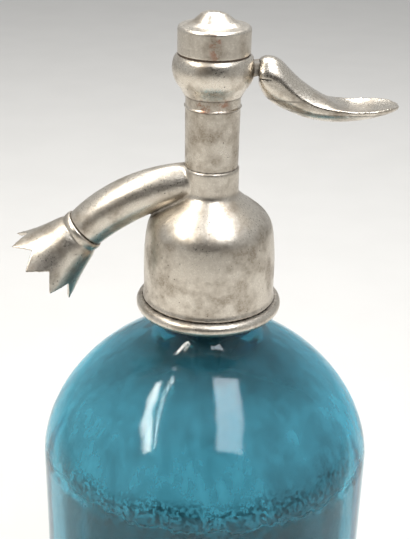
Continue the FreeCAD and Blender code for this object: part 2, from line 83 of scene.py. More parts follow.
def newPiece(name, mesh, body, materials=(), stands=()):
    piece = linkedObject(name, mesh)
    for material in materials:
        mesh.materials.append(material)
    mesh.shade_smooth()
    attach(piece, body)
    if stands:
        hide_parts(*stands)
    return piece


def dressNode(name, material):
    piece = nodes[name]
    if not piece.material_slots:
        piece.data.materials.append(material)
    for place in piece.material_slots:
        place.material = material


def evaluatedMesh(carrier, name):  # the shape that the modifiers give, as a plain mesh; the carrier goes
    graph = bpy.context.evaluated_depsgraph_get()
    mesh = bpy.data.meshes.new_from_object(carrier.evaluated_get(graph), depsgraph=graph)
    mesh.name = name
    carrier.modifiers.clear()
    bpy.data.objects.remove(carrier)
    return mesh


# Silver plate over cast pewter, dulled by a century of use: pale champagne where hands rub it,
# brown-grey tarnish in drifts, sandy casting pits, black specks, and dirt with painted shade in every crease.
plateFinish = {
    "bright": "#EAE3D6",
    "body": "#D3CABC",
    "tarnish": "#A09484",
    "speck": "#4A4036",
    # dark colour for the dirt and for the painted shade in hollows and along seams
    "dirtAndShade": "#3A3128",
    "copper": "#A87A63",
    "driftMm": 8.0,  # width of the drifts of tarnish
    "grainMm": 0.55,  # the mould's sand, coarser than the real grain so that it shows
    "speckMm": 1.7,
    "speckShare": 0.75,
    "rubMm": 2.2,
    "rubShare": 0.8,
    "crumbMm": 1.4,
    "dentMm": 4.5,
    "hollowReachMm": 1.6,
    "seamHalfMm": 0.45,
    "seamShare": 0.55,
    "seamHeights": [219.4, 262.9, 281.2, 284.7],
    "pitDepthMm": 0.06,
    "pitStrength": 0.55,
    "tarnishRoughness": 0.10,
    "dirtAndShadeRoughness": 0.35,
    "dirtAndShadeMetallic": 0.35,
}


def makePlate(name, tarnishShare, roughLow, roughHigh, copperSpots=(), grain=1.0):
    p = plateFinish
    material, tree = newMaterial(name)
    place = addNode(tree, "ShaderNodeTexCoord").outputs["Object"]
    height = addNode(tree, "ShaderNodeSeparateXYZ", {"Vector": place}).outputs["Z"]
    drift = addNode(tree, "ShaderNodeTexNoise", {
        "Vector": place, "Scale": 1 / (p["driftMm"] * mm), "Detail": 5.0, "Roughness": 0.62}).outputs[0]
    sand = addNode(tree, "ShaderNodeTexNoise", {
        "Vector": place, "Scale": 1 / (p["grainMm"] * mm), "Detail": 4.0, "Roughness": 0.7}).outputs[0]

    # drifts of tarnish that the grain breaks up, and high spots rubbed bright
    shift = 0.30 * tarnishShare
    drifts = addNode(tree, "ShaderNodeMapRange", {
        "interpolation_type": "SMOOTHSTEP", "Value": drift,
        "From Min": 0.56 - shift, "From Max": 0.80 - shift}).outputs[0]
    broken = addNode(tree, "ShaderNodeMapRange", {
        "interpolation_type": "SMOOTHSTEP", "Value": sand,
        "From Min": 0.30, "From Max": 0.62, "To Min": 0.45}).outputs[0]
    tarnish = addNode(tree, "ShaderNodeMath", {"operation": "MULTIPLY", 0: drifts, 1: broken}).outputs[0]
    rub = addNode(tree, "ShaderNodeMapRange", {
        "interpolation_type": "SMOOTHSTEP", "Value": sand, "From Min": 0.45, "From Max": 0.75}).outputs[0]
    colour = addNode(tree, "ShaderNodeMix", {
        "data_type": "RGBA", 0: rub, 6: linear(p["body"]), 7: linear(p["bright"])}).outputs[2]
    colour = addNode(tree, "ShaderNodeMix", {
        "data_type": "RGBA", 0: tarnish, 6: colour, 7: linear(p["tarnish"])}).outputs[2]

    # black specks: about a third of the cells hold one
    cells = addNode(tree, "ShaderNodeTexVoronoi", {
        "Vector": place, "Scale": 1 / (p["speckMm"] * mm), "Randomness": 1.0}).outputs
    spot = addNode(tree, "ShaderNodeMapRange", {
        "interpolation_type": "SMOOTHSTEP", "Value": cells["Distance"],
        "From Min": 0.06, "From Max": 0.17, "To Min": 1.0, "To Max": 0.0}).outputs[0]
    draw = addNode(tree, "ShaderNodeSeparateColor", {"Color": cells["Color"]}).outputs[0]
    chosen = addNode(tree, "ShaderNodeMapRange", {
        "interpolation_type": "SMOOTHSTEP", "Value": draw, "From Min": 0.62, "From Max": 0.70}).outputs[0]
    speck = addNode(tree, "ShaderNodeMath", {"operation": "MULTIPLY", 0: spot, 1: chosen}).outputs[0]
    shown = addNode(tree, "ShaderNodeMath", {"operation": "MULTIPLY", 0: speck, 1: p["speckShare"]}).outputs[0]
    colour = addNode(tree, "ShaderNodeMix", {
        "data_type": "RGBA", 0: shown, 6: colour, 7: linear(p["speck"])}).outputs[2]

    for x, y, z, reach, tall in copperSpots:
        local = addNode(tree, "ShaderNodeMapping", {
            "Vector": place, "Location": (-x * mm, -y * mm, -z * mm / tall), "Scale": (1, 1, 1 / tall)}).outputs[0]
        away = addNode(tree, "ShaderNodeVectorMath", {"operation": "LENGTH", 0: local}).outputs["Value"]
        near = addNode(tree, "ShaderNodeMapRange", {
            "interpolation_type": "SMOOTHSTEP", "Value": away,
            "From Min": 0.35 * reach * mm, "From Max": reach * mm, "To Min": p["rubShare"], "To Max": 0.0}).outputs[0]
        patch = addNode(tree, "ShaderNodeTexNoise", {
            "Vector": place, "Scale": 1 / (p["rubMm"] * mm), "Detail": 4.0, "Roughness": 0.65}).outputs[0]
        patch = addNode(tree, "ShaderNodeMapRange", {
            "interpolation_type": "SMOOTHSTEP", "Value": patch, "From Min": 0.44, "From Max": 0.60}).outputs[0]
        worn = addNode(tree, "ShaderNodeMath", {"operation": "MULTIPLY", 0: near, 1: patch}).outputs[0]
        colour = addNode(tree, "ShaderNodeMix", {
            "data_type": "RGBA", 0: worn, 6: colour, 7: linear(p["copper"])}).outputs[2]

    # dirt and painted shade: hollows that ambient occlusion finds and bands along the turned seams go dark, broken up
    # into crumbs
    hollow = addNode(tree, "ShaderNodeAmbientOcclusion", {
        "samples": 8, "only_local": False, "Distance": p["hollowReachMm"] * mm}).outputs["AO"]
    dirtAndShade = addNode(tree, "ShaderNodeMapRange", {
        "interpolation_type": "SMOOTHSTEP", "Value": hollow,
        "From Min": 0.45, "From Max": 0.90, "To Min": 1.0, "To Max": 0.0}).outputs[0]
    for z in p["seamHeights"]:
        above = addNode(tree, "ShaderNodeMath", {"operation": "SUBTRACT", 0: height, 1: z * mm}).outputs[0]
        away = addNode(tree, "ShaderNodeMath", {"operation": "ABSOLUTE", 0: above}).outputs[0]
        seam = addNode(tree, "ShaderNodeMapRange", {
            "interpolation_type": "SMOOTHSTEP", "Value": away, "From Min": 0.25 * p["seamHalfMm"] * mm,
            "From Max": p["seamHalfMm"] * mm, "To Min": p["seamShare"], "To Max": 0.0}).outputs[0]
        dirtAndShade = addNode(tree, "ShaderNodeMath", {"operation": "MAXIMUM", 0: dirtAndShade, 1: seam}).outputs[0]
    crumbs = addNode(tree, "ShaderNodeTexNoise", {
        "Vector": place, "Scale": 1 / (p["crumbMm"] * mm), "Detail": 3.0, "Roughness": 0.6}).outputs[0]
    crumbs = addNode(tree, "ShaderNodeMapRange", {
        "interpolation_type": "SMOOTHSTEP", "Value": crumbs,
        "From Min": 0.30, "From Max": 0.60, "To Min": 0.35}).outputs[0]
    dirtAndShade = addNode(tree, "ShaderNodeMath", {"operation": "MULTIPLY", 0: dirtAndShade, 1: crumbs}).outputs[0]
    # this dark colour also paints shade into the hollows
    colour = addNode(tree, "ShaderNodeMix", {
        "data_type": "RGBA", 0: dirtAndShade, 6: colour, 7: linear(p["dirtAndShade"])}).outputs[2]

    rough = addNode(tree, "ShaderNodeMapRange", {
        "interpolation_type": "SMOOTHSTEP", "Value": sand,
        "From Min": 0.3, "From Max": 0.75, "To Min": roughLow, "To Max": roughHigh}).outputs[0]
    for cover, more in ((tarnish, p["tarnishRoughness"]), (dirtAndShade, p["dirtAndShadeRoughness"])):
        rough = addNode(tree, "ShaderNodeMath", {
            "operation": "MULTIPLY_ADD", "use_clamp": True, 0: cover, 1: more, 2: rough}).outputs[0]
    # where the dirt and painted shade lie, the plate is also less metallic
    metal = addNode(tree, "ShaderNodeMapRange", {
        "interpolation_type": "SMOOTHSTEP", "Value": dirtAndShade, "To Min": 1.0, "To Max": p["dirtAndShadeMetallic"]}).outputs[0]

    # relief: sandy grain, pits at the specks, shallow dents
    dents = addNode(tree, "ShaderNodeTexNoise", {
        "Vector": place, "Scale": 1 / (p["dentMm"] * mm), "Detail": 2.0, "Roughness": 0.5}).outputs[0]
    relief = addNode(tree, "ShaderNodeMath", {"operation": "MULTIPLY", 0: sand, 1: grain}).outputs[0]
    for part, share in ((speck, -1.3), (dents, 1.6)):
        relief = addNode(tree, "ShaderNodeMath", {
            "operation": "MULTIPLY_ADD", 0: part, 1: share, 2: relief}).outputs[0]
    bump = addNode(tree, "ShaderNodeBump", {
        "Height": relief, "Strength": p["pitStrength"], "Distance": p["pitDepthMm"] * mm}).outputs[0]
    shader = addNode(tree, "ShaderNodeBsdfPrincipled", {
        "Base Color": colour, "Metallic": metal, "Roughness": rough, "Normal": bump}).outputs[0]
    addNode(tree, "ShaderNodeOutputMaterial", {"Surface": shader})
    return material


# rubbed through to the copper: x, y and z in mm, reach, and how many times as tall as wide
capRub = [(0.3, -10.6, 300.8, 2.2, 2.4), (0.9, -10.6, 303.0, 1.2, 1.6)]
bandRub = [
    (-3.0, -7.9, 283.0, 3.4, 1.0), (2.8, -8.0, 283.4, 3.0, 1.0),
    (-7.8, 2.0, 283.0, 3.0, 1.0), (7.0, 4.5, 282.8, 2.6, 1.0),
]
castPewter = makePlate("worn_silver_plate_on_cast_pewter", 0.45, 0.26, 0.42)
castHousing = makePlate("worn_silver_plate_on_lever_housing", 0.40, 0.24, 0.38, bandRub)
castCap = makePlate("worn_silver_plate_on_cap", 0.30, 0.26, 0.42, capRub)
drawnColumn = makePlate("worn_silver_plate_on_drawn_brass", 0.62, 0.24, 0.36, (), 0.7)
rubbedLever = makePlate("hand_rubbed_silver_plate", 0.42, 0.22, 0.36, (), 0.8)
print("plate finishes made")


# Lathe-turned brass inside the head, never polished: yellow, faintly ringed, dulled brown.
brassFinish = {"yellow": "#C9A35A", "brown": "#8C6B3C", "ringMm": 0.3, "stainMm": 5.0, "depthMm": 0.03}


def makeBrass():
    f = brassFinish
    material, tree = newMaterial("turned_brass")
    place = addNode(tree, "ShaderNodeTexCoord").outputs["Object"]
    turned = addNode(tree, "ShaderNodeMapping", {"Vector": place, "Scale": (0.02, 0.02, 1.0)}).outputs[0]
    rings = addNode(tree, "ShaderNodeTexNoise", {
        "Vector": turned, "Scale": 1 / (f["ringMm"] * mm), "Detail": 2.0, "Roughness": 0.5}).outputs[0]
    stain = addNode(tree, "ShaderNodeTexNoise", {
        "Vector": place, "Scale": 1 / (f["stainMm"] * mm), "Detail": 4.0, "Roughness": 0.6}).outputs[0]
    stain = addNode(tree, "ShaderNodeMapRange", {
        "interpolation_type": "SMOOTHSTEP", "Value": stain, "From Min": 0.4, "From Max": 0.7}).outputs[0]
    colour = addNode(tree, "ShaderNodeMix", {
        "data_type": "RGBA", 0: stain, 6: linear(f["yellow"]), 7: linear(f["brown"])}).outputs[2]
    rough = addNode(tree, "ShaderNodeMapRange", {
        "interpolation_type": "SMOOTHSTEP", "Value": rings,
        "From Min": 0.3, "From Max": 0.7, "To Min": 0.25, "To Max": 0.45}).outputs[0]
    bump = addNode(tree, "ShaderNodeBump", {
        "Height": rings, "Strength": 0.3, "Distance": f["depthMm"] * mm}).outputs[0]
    shader = addNode(tree, "ShaderNodeBsdfPrincipled", {
        "Metallic": 1.0, "Base Color": colour, "Roughness": rough, "Normal": bump}).outputs[0]
    addNode(tree, "ShaderNodeOutputMaterial", {"Surface": shader})
    return material


# Drawn spring steel, greased: dark grey with soft streaks.
steelFinish = {"pale": "#8E8C88", "dark": "#5E5B56", "streakMm": 0.5, "depthMm": 0.03}


def makeSteel():
    f = steelFinish
    material, tree = newMaterial("oiled_steel")
    place = addNode(tree, "ShaderNodeTexCoord").outputs["Object"]
    drawn = addNode(tree, "ShaderNodeMapping", {"Vector": place, "Scale": (0.15, 1.0, 1.0)}).outputs[0]
    streak = addNode(tree, "ShaderNodeTexNoise", {
        "Vector": drawn, "Scale": 1 / (f["streakMm"] * mm), "Detail": 3.0, "Roughness": 0.6}).outputs[0]
    share = addNode(tree, "ShaderNodeMapRange", {
        "interpolation_type": "SMOOTHSTEP", "Value": streak, "From Min": 0.35, "From Max": 0.7}).outputs[0]
    colour = addNode(tree, "ShaderNodeMix", {
        "data_type": "RGBA", 0: share, 6: linear(f["pale"]), 7: linear(f["dark"])}).outputs[2]
    rough = addNode(tree, "ShaderNodeMapRange", {
        "interpolation_type": "SMOOTHSTEP", "Value": streak,
        "From Min": 0.3, "From Max": 0.7, "To Min": 0.28, "To Max": 0.5}).outputs[0]
    bump = addNode(tree, "ShaderNodeBump", {
        "Height": streak, "Strength": 0.25, "Distance": f["depthMm"] * mm}).outputs[0]
    shader = addNode(tree, "ShaderNodeBsdfPrincipled", {
        "Metallic": 1.0, "Base Color": colour, "Roughness": rough, "Normal": bump}).outputs[0]
    addNode(tree, "ShaderNodeOutputMaterial", {"Surface": shader})
    return material


# Moulded natural rubber and pressed fibre, bloomed with age: matt, faintly powdery.
sealFinish = {"bloomMm": 1.2, "depthMm": 0.05}


def makeSeal(name, dark, pale):
    f = sealFinish
    material, tree = newMaterial(name)
    place = addNode(tree, "ShaderNodeTexCoord").outputs["Object"]
    bloom = addNode(tree, "ShaderNodeTexNoise", {
        "Vector": place, "Scale": 1 / (f["bloomMm"] * mm), "Detail": 4.0, "Roughness": 0.65}).outputs[0]
    share = addNode(tree, "ShaderNodeMapRange", {
        "interpolation_type": "SMOOTHSTEP", "Value": bloom, "From Min": 0.45, "From Max": 0.75}).outputs[0]
    colour = addNode(tree, "ShaderNodeMix", {
        "data_type": "RGBA", 0: share, 6: linear(dark), 7: linear(pale)}).outputs[2]
    rough = addNode(tree, "ShaderNodeMapRange", {
        "interpolation_type": "SMOOTHSTEP", "Value": bloom,
        "From Min": 0.3, "From Max": 0.7, "To Min": 0.6, "To Max": 0.85}).outputs[0]
    bump = addNode(tree, "ShaderNodeBump", {
        "Height": bloom, "Strength": 0.3, "Distance": f["depthMm"] * mm}).outputs[0]
    shader = addNode(tree, "ShaderNodeBsdfPrincipled", {
        "Base Color": colour, "Roughness": rough, "Normal": bump}).outputs[0]
    addNode(tree, "ShaderNodeOutputMaterial", {"Surface": shader})
    return material


brass = makeBrass()
steel = makeSteel()
rubber = makeSeal("aged_black_rubber", "#191817", "#3A3936")
fibre = makeSeal("vulcanised_fibre", "#6B5A4C", "#8A7A6A")
print("inner finishes made")


# Siphon glass: blown into a mould, teal through its whole thickness, so the walls go dark where the
# eye looks along them. Above the old water line hard water has left a pale cloudy haze, and a film
# on the inside with a crusted edge.
glassFinish = {
    "tint": (0.0, 0.70, 0.81, 1.0),
    "density": 190.0,
    "index": 1.5,
    "hazeColour": "#5CB8CE",
    "deepColour": "#1E93AC",
    "filmColour": "#D3F1F6",
    "waterLineMm": 165.0,
    "lineSwingMm": 5.0,
    "lineHalfMm": 0.45,
    "hazeSwingMm": 8.0,
    "waveMm": 16.0,
    "scratchMm": 0.35,
    "wispMm": 13.0,
    "runMm": 3.2,
    "hazeDriftMm": 24.0,
    "mottleMm": 1.3,
    "filmDriftMm": 22.0,
    "jagMm": 9.0,
    "gritMm": 0.9,
}


def startGlass(name):  # clear glass with slow waves and fine scratches drawn out along the height
    g = glassFinish
    material, tree = newMaterial(name)
    place = addNode(tree, "ShaderNodeTexCoord").outputs["Object"]
    tall = addNode(tree, "ShaderNodeMapping", {"Vector": place, "Scale": (1.0, 1.0, 0.12)}).outputs[0]
    waves = addNode(tree, "ShaderNodeTexNoise", {
        "Vector": tall, "Scale": 1 / (g["waveMm"] * mm), "Detail": 2.0, "Roughness": 0.5}).outputs[0]
    drawn = addNode(tree, "ShaderNodeMapping", {"Vector": place, "Scale": (1.0, 1.0, 0.2)}).outputs[0]
    scratches = addNode(tree, "ShaderNodeTexNoise", {
        "Vector": drawn, "Scale": 1 / (g["scratchMm"] * mm), "Detail": 3.0, "Roughness": 0.6}).outputs[0]
    relief = addNode(tree, "ShaderNodeMath", {
        "operation": "MULTIPLY_ADD", 0: scratches, 1: 0.02, 2: waves}).outputs[0]
    bump = addNode(tree, "ShaderNodeBump", {"Height": relief, "Strength": 0.35, "Distance": 1.0 * mm}).outputs[0]
    clear = addNode(tree, "ShaderNodeBsdfPrincipled", {
        "Base Color": (1, 1, 1, 1), "IOR": g["index"], "Transmission Weight": 1.0, "Roughness": 0.02,
        "Normal": bump}).outputs[0]
    return material, tree, place, clear


def finishGlass(tree, surface):  # the tint sits in the thickness
    g = glassFinish
    inside = addNode(tree, "ShaderNodeVolumeAbsorption", {"Color": g["tint"], "Density": g["density"]}).outputs[0]
    addNode(tree, "ShaderNodeOutputMaterial", {"Surface": surface, "Volume": inside})


def makeHazedGlass():  # the outer face, with the haze that shows through it
    g = glassFinish
    material, tree, place, clear = startGlass("teal_blown_glass")
    height = addNode(tree, "ShaderNodeSeparateXYZ", {"Vector": place}).outputs["Z"]
    tall = addNode(tree, "ShaderNodeMapping", {"Vector": place, "Scale": (1.0, 1.0, 0.25)}).outputs[0]
    wisps = addNode(tree, "ShaderNodeTexNoise", {
        "Vector": tall, "Scale": 1 / (g["wispMm"] * mm), "Detail": 4.0, "Roughness": 0.55}).outputs[0]
    upright = addNode(tree, "ShaderNodeMapping", {"Vector": place, "Scale": (1.0, 1.0, 0.05)}).outputs[0]
    runs = addNode(tree, "ShaderNodeTexNoise", {
        "Vector": upright, "Scale": 1 / (g["runMm"] * mm), "Detail": 3.0, "Roughness": 0.6}).outputs[0]
    drift = addNode(tree, "ShaderNodeTexNoise", {
        "Vector": place, "Scale": 1 / (g["hazeDriftMm"] * mm), "Detail": 3.0, "Roughness": 0.55}).outputs[0]
    mottle = addNode(tree, "ShaderNodeTexNoise", {
        "Vector": place, "Scale": 1 / (g["mottleMm"] * mm), "Detail": 4.0, "Roughness": 0.75}).outputs[0]

    # height above the uneven water line
    swing = addNode(tree, "ShaderNodeMath", {"operation": "SUBTRACT", 0: drift, 1: 0.5}).outputs[0]
    swung = addNode(tree, "ShaderNodeMath", {
        "operation": "MULTIPLY_ADD", 0: swing, 1: 2 * g["hazeSwingMm"] * mm, 2: height}).outputs[0]
    above = addNode(tree, "ShaderNodeMath", {
        "operation": "SUBTRACT", 0: swung, 1: g["waterLineMm"] * mm}).outputs[0]

    haze = addNode(tree, "ShaderNodeMapRange", {
        "interpolation_type": "SMOOTHSTEP", "Value": above,
        "From Min": -4 * mm, "From Max": 9 * mm, "To Min": 0.20, "To Max": 0.42}).outputs[0]
    shares = [
        (wisps, 0.30, 0.70, 0.70, 1.20),
        (runs, 0.25, 0.75, 0.84, 1.14),
        (height, 186 * mm, 206 * mm, 1.0, 0.35),
    ]
    for source, low, high, least, most in shares:
        share = addNode(tree, "ShaderNodeMapRange", {
            "interpolation_type": "SMOOTHSTEP", "Value": source,
            "From Min": low, "From Max": high, "To Min": least, "To Max": most}).outputs[0]
        haze = addNode(tree, "ShaderNodeMath", {"operation": "MULTIPLY", 0: haze, 1: share}).outputs[0]

    # a belt just over the line where the haze has flaked off in crumbs
    rise = addNode(tree, "ShaderNodeMapRange", {
        "interpolation_type": "SMOOTHSTEP", "Value": above, "From Min": -10 * mm, "From Max": 2 * mm}).outputs[0]
    fall = addNode(tree, "ShaderNodeMapRange", {
        "interpolation_type": "SMOOTHSTEP", "Value": above,
        "From Min": 6 * mm, "From Max": 14 * mm, "To Min": 0.85, "To Max": 0.0}).outputs[0]
    belt = addNode(tree, "ShaderNodeMath", {"operation": "MULTIPLY", 0: rise, 1: fall}).outputs[0]
    flakes = addNode(tree, "ShaderNodeMapRange", {
        "interpolation_type": "SMOOTHSTEP", "Value": mottle,
        "From Min": 0.44, "From Max": 0.56, "To Min": 1.0, "To Max": 0.0}).outputs[0]
    bare = addNode(tree, "ShaderNodeMath", {"operation": "MULTIPLY", 0: flakes, 1: belt}).outputs[0]
    kept = addNode(tree, "ShaderNodeMath", {"operation": "SUBTRACT", 0: 1.0, 1: bare}).outputs[0]
    haze = addNode(tree, "ShaderNodeMath", {"operation": "MULTIPLY", 0: haze, 1: kept}).outputs[0]

    shallow = addNode(tree, "ShaderNodeMapRange", {
        "interpolation_type": "SMOOTHSTEP", "Value": above, "From Min": -6 * mm, "From Max": 8 * mm}).outputs[0]
    colour = addNode(tree, "ShaderNodeMix", {
        "data_type": "RGBA", 0: shallow, 6: linear(g["deepColour"]), 7: linear(g["hazeColour"])}).outputs[2]
    cloud = addNode(tree, "ShaderNodeBsdfDiffuse", {"Roughness": 0.6, "Color": colour}).outputs[0]
    surface = addNode(tree, "ShaderNodeMixShader", {0: haze, 1: clear, 2: cloud}).outputs[0]
    finishGlass(tree, surface)
    return material


def makeFilmedGlass():  # the inner face, with its powdery film and the crust along the water line
    g = glassFinish
    material, tree, place, clear = startGlass("teal_blown_glass_limescale")
    height = addNode(tree, "ShaderNodeSeparateXYZ", {"Vector": place}).outputs["Z"]
    drift = addNode(tree, "ShaderNodeTexNoise", {
        "Vector": place, "Scale": 1 / (g["filmDriftMm"] * mm), "Detail": 3.0, "Roughness": 0.55}).outputs[0]
    jag = addNode(tree, "ShaderNodeTexNoise", {
        "Vector": place, "Scale": 1 / (g["jagMm"] * mm), "Detail": 4.0, "Roughness": 0.7}).outputs[0]
    grit = addNode(tree, "ShaderNodeTexNoise", {
        "Vector": place, "Scale": 1 / (g["gritMm"] * mm), "Detail": 3.0, "Roughness": 0.7}).outputs[0]
    swing = addNode(tree, "ShaderNodeMath", {"operation": "SUBTRACT", 0: jag, 1: 0.5}).outputs[0]
    swung = addNode(tree, "ShaderNodeMath", {
        "operation": "MULTIPLY_ADD", 0: swing, 1: 2 * g["lineSwingMm"] * mm, 2: height}).outputs[0]
    above = addNode(tree, "ShaderNodeMath", {
        "operation": "SUBTRACT", 0: swung, 1: g["waterLineMm"] * mm}).outputs[0]

    film = addNode(tree, "ShaderNodeMapRange", {
        "interpolation_type": "SMOOTHSTEP", "Value": above,
        "From Min": 0.0, "From Max": 1.5 * mm, "To Min": 0.02, "To Max": 0.30}).outputs[0]
    shares = [(drift, 0.30, 0.72, 0.35, 1.0), (height, 196 * mm, 206 * mm, 1.0, 0.25)]
    for source, low, high, least, most in shares:
        share = addNode(tree, "ShaderNodeMapRange", {
            "interpolation_type": "SMOOTHSTEP", "Value": source,
            "From Min": low, "From Max": high, "To Min": least, "To Max": most}).outputs[0]
        film = addNode(tree, "ShaderNodeMath", {"operation": "MULTIPLY", 0: film, 1: share}).outputs[0]

    away = addNode(tree, "ShaderNodeMath", {"operation": "ABSOLUTE", 0: above}).outputs[0]
    crust = addNode(tree, "ShaderNodeMapRange", {
        "interpolation_type": "SMOOTHSTEP", "Value": away,
        "From Min": 0.1 * mm, "From Max": g["lineHalfMm"] * mm, "To Min": 0.75, "To Max": 0.0}).outputs[0]
    grit = addNode(tree, "ShaderNodeMapRange", {
        "interpolation_type": "SMOOTHSTEP", "Value": grit,
        "From Min": 0.60, "From Max": 0.72, "To Min": 0.0, "To Max": 0.5}).outputs[0]
    gathered = addNode(tree, "ShaderNodeMapRange", {
        "interpolation_type": "SMOOTHSTEP", "Value": drift, "From Min": 0.45, "From Max": 0.6}).outputs[0]
    grit = addNode(tree, "ShaderNodeMath", {"operation": "MULTIPLY", 0: grit, 1: gathered}).outputs[0]
    film = addNode(tree, "ShaderNodeMath", {"operation": "MAXIMUM", 0: film, 1: crust}).outputs[0]
    film = addNode(tree, "ShaderNodeMath", {"operation": "MAXIMUM", 0: film, 1: grit}).outputs[0]

    white = linear(g["filmColour"])
    powder = addNode(tree, "ShaderNodeBsdfDiffuse", {"Color": white, "Roughness": 0.6}).outputs[0]
    through = addNode(tree, "ShaderNodeBsdfTranslucent", {"Color": white}).outputs[0]
    powder = addNode(tree, "ShaderNodeMixShader", {0: 0.4, 1: powder, 2: through}).outputs[0]
    surface = addNode(tree, "ShaderNodeMixShader", {0: film, 1: clear, 2: powder}).outputs[0]
    finishGlass(tree, surface)
    return material


# Drawn clear glass tube: faintly green, with fine draw lines along its length.
tubeFinish = {"tint": "#E4F4EF", "lineMm": 1.5, "depthMm": 0.1}


def makeTubeGlass():
    f = tubeFinish
    material, tree = newMaterial("drawn_clear_glass")
    place = addNode(tree, "ShaderNodeTexCoord").outputs["Object"]
    drawn = addNode(tree, "ShaderNodeMapping", {"Vector": place, "Scale": (1.0, 1.0, 0.02)}).outputs[0]
    lines = addNode(tree, "ShaderNodeTexNoise", {
        "Vector": drawn, "Scale": 1 / (f["lineMm"] * mm), "Detail": 2.0, "Roughness": 0.5}).outputs[0]
    bump = addNode(tree, "ShaderNodeBump", {
        "Height": lines, "Strength": 0.2, "Distance": f["depthMm"] * mm}).outputs[0]
    shader = addNode(tree, "ShaderNodeBsdfPrincipled", {
        "Base Color": linear(f["tint"]), "IOR": glassFinish["index"], "Transmission Weight": 1.0,
        "Roughness": 0.03, "Normal": bump}).outputs[0]
    addNode(tree, "ShaderNodeOutputMaterial", {"Surface": shader})
    return material


def makeSeedAir():  # air bubble in glass: light meets thinner stuff, so the index is below one
    material, tree = newMaterial("air_seed_in_glass")
    shader = addNode(tree, "ShaderNodeBsdfGlass", {
        "Color": (1, 1, 1, 1), "IOR": 1 / glassFinish["index"], "Roughness": 0.0}).outputs[0]
    addNode(tree, "ShaderNodeOutputMaterial", {"Surface": shader})
    return material


hazedGlass = makeHazedGlass()
filmedGlass = makeFilmedGlass()
tubeGlass = makeTubeGlass()
seedAir = makeSeedAir()
print("glass made")


# bottle, spun from its outline; sizes in mm

bottle = {
    "radius": 54.0,
    "wall": 5.0,
    "footInner": 38.0,
    "heel": 9.0,
    "punt": 9.0,
    "floorEdge": 9.5,
    "floorTop": 16.0,
    "innerHeel": 12.5,
    "shoulderStart": 163.5,
    "shoulderRise": 46.5,
    "shoulderPower": 1.77,
    "shoulderEnd": 21.0,
    "innerShoulderEnd": 13.0,
    "neck": 13.0,
    "bore": 9.0,
    "lip": 15.5,
    "lipBottom": 226.0,
    "lipTop": 234.0,
    "lipRound": 1.2,
    "around": 256,
    "puntSteps": 8,
    "bendSteps": 10,
    "wallSteps": 30,
    "shoulderSteps": 44,
    "innerShoulderSteps": 40,
    "waviness": 0.16,
    "waves": [(14, 1.0, 0.6), (23, 0.7, 2.1), (9, 0.5, 4.0)],  # count round the wall, share, turn
    "wavesFrom": 14.0,
    "wavesFadeUp": 20.0,
    "wavesFadeDown": 40.0,
    "wavesPastShoulder": 30.0,
    "wavyOver": 40.0,
}


def arcPoints(centre, radius, start, end, steps):
    points = []
    for i in range(steps + 1):
        angle = math.radians(start + (end - start) * i / steps)
        points.append((centre[0] + radius * math.cos(angle), centre[1] + radius * math.sin(angle)))
    return points


def domePoints(edge, rise, top, steps):  # a shallow dome, from its middle outwards
    sphere = (edge ** 2 + rise ** 2) / (2 * rise)
    radii = [edge * i / steps for i in range(steps + 1)]
    return [(r, top - sphere + math.sqrt(sphere ** 2 - r ** 2)) for r in radii]


def wallPoints(radius, low, high, steps):  # inner points of a straight wall
    return [(radius, low + (high - low) * i / steps) for i in range(1, steps)]


def shoulderPoints(radius, rise, endRadius, throat, steps):  # superellipse, then a bend into the neck
    b = bottle
    power = 2 / b["shoulderPower"]
    last = math.acos((endRadius / radius) ** (1 / power))
    points = []
    for i in range(steps + 1):
        angle = last * i / steps
        points.append((radius * math.cos(angle) ** power, b["shoulderStart"] + rise * math.sin(angle) ** power))
    across = points[-1][0] - points[-2][0]
    up = points[-1][1] - points[-2][1]
    heading = math.degrees(math.atan2(up, across))
    lean = math.radians(heading - 90)
    bend = (points[-1][0] - throat) / (1 - math.cos(lean))
    centre = (throat + bend, points[-1][1] + bend * math.sin(lean))
    return points + arcPoints(centre, bend, 90 + heading, 180, b["bendSteps"])[1:]


def outerOutline():
    b = bottle
    heel = (b["radius"] - b["heel"], b["heel"])
    soft = b["lipRound"]
    points = domePoints(b["footInner"], b["punt"], b["punt"], b["puntSteps"])
    points += arcPoints(heel, b["heel"], -90, 0, b["bendSteps"])
    points += wallPoints(b["radius"], b["heel"], b["shoulderStart"], b["wallSteps"])
    points += shoulderPoints(b["radius"], b["shoulderRise"], b["shoulderEnd"], b["neck"], b["shoulderSteps"])
    return points + [
        (b["neck"], b["lipBottom"]), (b["lip"] - soft, b["lipBottom"]), (b["lip"], b["lipBottom"] + soft),
        (b["lip"], b["lipTop"] - soft), (b["lip"] - soft, b["lipTop"]), (b["bore"], b["lipTop"]),
    ]


def innerOutline():
    b = bottle
    radius = b["radius"] - b["wall"]
    wallStart = b["floorEdge"] + b["innerHeel"]
    points = shoulderPoints(
        radius, b["shoulderRise"] - b["wall"], b["innerShoulderEnd"], b["bore"], b["innerShoulderSteps"])
    points.reverse()
    points += wallPoints(radius, b["shoulderStart"], wallStart, b["wallSteps"])
    points += arcPoints((radius - b["innerHeel"], wallStart), b["innerHeel"], 0, -90, b["bendSteps"])
    floor = domePoints(points[-1][0], b["floorTop"] - b["floorEdge"], b["floorTop"], b["puntSteps"])
    return points + floor[-2::-1]


def wallWave(angle, z):  # a mould-blown wall is never even inside, so it bends what lies behind it
    b = bottle
    wave = sum(share * math.cos(count * angle + turn) for count, share, turn in b["waves"])
    down = (b["shoulderStart"] + b["wavesPastShoulder"] - z) / b["wavesFadeDown"]
    up = (z - b["wavesFrom"]) / b["wavesFadeUp"]
    return b["waviness"] * wave * min(1.0, max(0.0, down)) * min(1.0, max(0.0, up))


